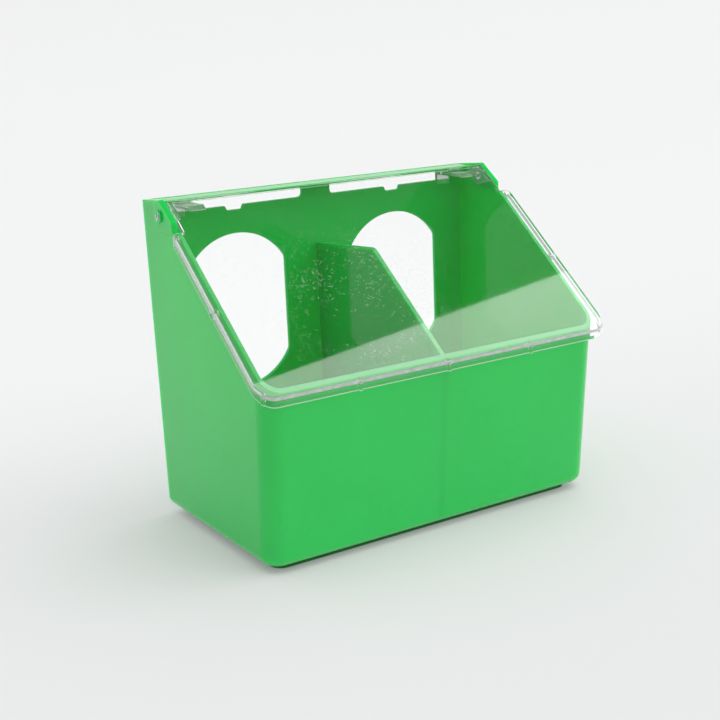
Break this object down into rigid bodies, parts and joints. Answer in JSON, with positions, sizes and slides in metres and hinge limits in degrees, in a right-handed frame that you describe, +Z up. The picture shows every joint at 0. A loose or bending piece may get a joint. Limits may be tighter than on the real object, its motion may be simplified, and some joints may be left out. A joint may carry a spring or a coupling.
{
  "type": "cage feeder box",
  "caption": "Tapered green plastic feeder box with a divider, rounded head openings in its back wall, and a clear sloping lid that swings on moulded pins.",
  "frame": {"origin": "middle of the outline seen from above, lid included, on the surface that the foot rim stands on", "axes": "+Z up, +X to the right for someone facing the low front wall, -Y towards that wall; the upright back wall faces +Y"},
  "size_m": [0.188, 0.1094, 0.1527],
  "materials": {
    "green_plastic": "glossy moulded green, slightly translucent at thin edges",
    "clear_plastic": "clear moulded, glossy with fine scuffs"
  },
  "bodies": {
    "box": {"box_body": "green_plastic"},
    "lid": {"clear_lid": "clear_plastic"}
  },
  "joints": [
    {"name": "lid_hinge", "type": "hinge", "parent": "box", "child": "lid", "pos_m": [0, 0.0352, 0.1456], "axis": [-1, 0, 0], "range_deg": [0, 128]}
  ]
}
